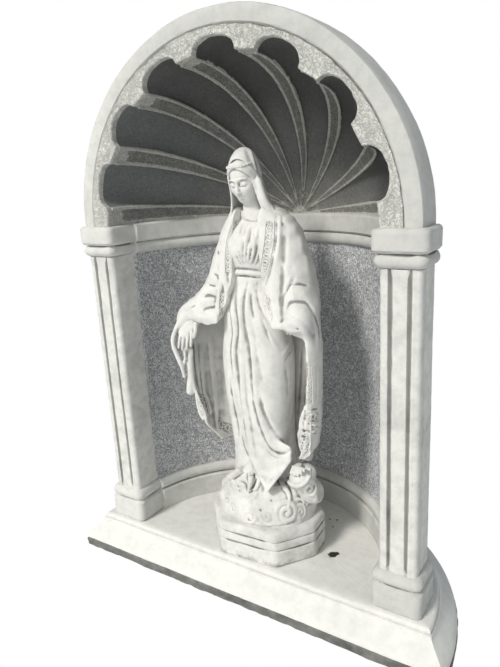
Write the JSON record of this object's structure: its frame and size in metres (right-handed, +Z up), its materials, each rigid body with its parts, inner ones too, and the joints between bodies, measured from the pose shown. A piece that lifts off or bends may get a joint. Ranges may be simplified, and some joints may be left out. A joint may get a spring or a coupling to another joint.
{
  "type": "wayside shrine",
  "caption": "Cast stone wayside shrine: half-round niche with a fluted shell vault, reeded pilasters and moulded base, holding a veiled robed figure on a cloud mound",
  "frame": {"origin": "under the middle of the base, on the ground", "axes": "+Z up, the niche opens towards -Y, +X to the right seen from the front"},
  "size_m": [0.954, 0.512, 1.2489],
  "materials": {
    "smooth_stone": "matte",
    "pale_stone": "matte",
    "rough_stone": "matte",
    "shaft_stone": "matte",
    "wall_stone": "matte",
    "flute_stone": "matte",
    "rib_stone": "matte",
    "figure_stone": "matte"
  },
  "bodies": {
    "root": {"base_foot": "rough_stone", "base_moulding": "pale_stone", "floor_slab": "pale_stone", "left_plinth": "smooth_stone", "right_plinth": "smooth_stone", "left_shaft": "shaft_stone", "right_shaft": "shaft_stone", "left_capital": "smooth_stone", "right_capital": "smooth_stone", "wall_1": "wall_stone", "wall_2": "wall_stone", "wall_3": "wall_stone", "wall_4": "wall_stone", "wall_5": "wall_stone", "skirting": "smooth_stone", "impost_band": "smooth_stone", "arch_band": "smooth_stone", "scalloped_ring": "pale_stone", "shell_flute_1": "flute_stone", "shell_flute_2": "flute_stone", "shell_flute_3": "flute_stone", "shell_flute_4": "flute_stone", "shell_flute_5": "flute_stone", "shell_flute_6": "flute_stone", "shell_flute_7": "flute_stone", "shell_ribs": "rib_stone", "shell_hub": "flute_stone", "figure_plinth": "figure_stone", "cloud_mound": "figure_stone", "gown": "figure_stone", "belt": "figure_stone", "bodice": "figure_stone", "neck": "figure_stone", "head": "figure_stone", "veil": "figure_stone", "veil_crown": "figure_stone", "mantle": "figure_stone", "left_sleeve": "figure_stone", "right_sleeve": "figure_stone", "left_hand": "figure_stone", "right_hand": "figure_stone", "left_foot": "figure_stone", "right_foot": "figure_stone"}
  },
  "joints": []
}
